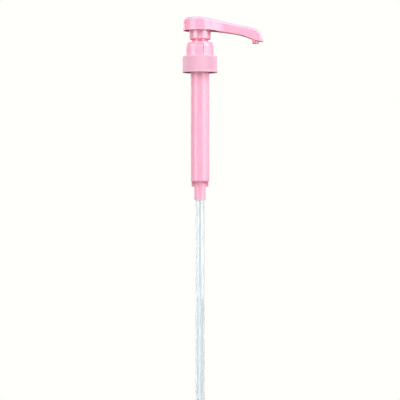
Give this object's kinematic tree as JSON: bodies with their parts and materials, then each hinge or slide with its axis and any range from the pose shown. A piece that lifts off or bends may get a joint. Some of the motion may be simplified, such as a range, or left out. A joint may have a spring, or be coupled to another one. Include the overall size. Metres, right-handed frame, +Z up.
{
  "type": "condiment pump dispenser",
  "caption": "Hand pump for a wide-neck sauce jar: screw cap, lock-down head with a long beak spout, spring-loaded piston, ball valves and a straight dip tube.",
  "frame": {"origin": "on the pump's axis in the plane of the bottle's rim, under the gasket", "axes": "+Z up along the pump's axis, +X towards the spout's nozzle"},
  "size_m": [0.097, 0.0418, 0.4607],
  "materials": {
    "rose_plastic": "glossy",
    "rose_cap": "satin",
    "clear_tube": "clear",
    "natural_plastic": "matte",
    "steel": "drawn wire",
    "ball_steel": "polished",
    "gasket_foam": "matte"
  },
  "bodies": {
    "housing": {"pump_barrel": "rose_plastic", "neck_gasket": "gasket_foam", "lock_collar": "rose_plastic", "stem_guide": "natural_plastic", "inlet_ball_cage": "natural_plastic", "dip_tube": "clear_tube", "return_spring": "steel"},
    "cap": {"screw_cap": "rose_cap"},
    "piston": {"piston": "natural_plastic"},
    "head": {"stem": "natural_plastic", "stem_plug": "natural_plastic", "head_core": "rose_plastic", "head_cover": "rose_plastic"},
    "inlet_ball": {"inlet_ball": "ball_steel"},
    "outlet_ball": {"outlet_ball": "ball_steel"}
  },
  "joints": [
    {"name": "cap_spin", "type": "hinge", "parent": "housing", "child": "cap", "pos_m": [0, 0, 0], "axis": [0, 0, 1], "continuous": true},
    {"name": "pump_stroke", "type": "slide", "parent": "housing", "child": "piston", "axis": [0, 0, 1], "range_m": [0, 0.0919], "deforming": ["return_spring"]},
    {"name": "head_swivel", "type": "hinge", "parent": "piston", "child": "head", "pos_m": [0, 0, 0], "axis": [0, 0, 1], "continuous": true},
    {"name": "inlet_ball_lift", "type": "slide", "parent": "housing", "child": "inlet_ball", "axis": [0, 0, 1], "range_m": [0, 0.0045]},
    {"name": "outlet_ball_lift", "type": "slide", "parent": "head", "child": "outlet_ball", "axis": [0, 0, 1], "range_m": [0, 0.003]}
  ]
}
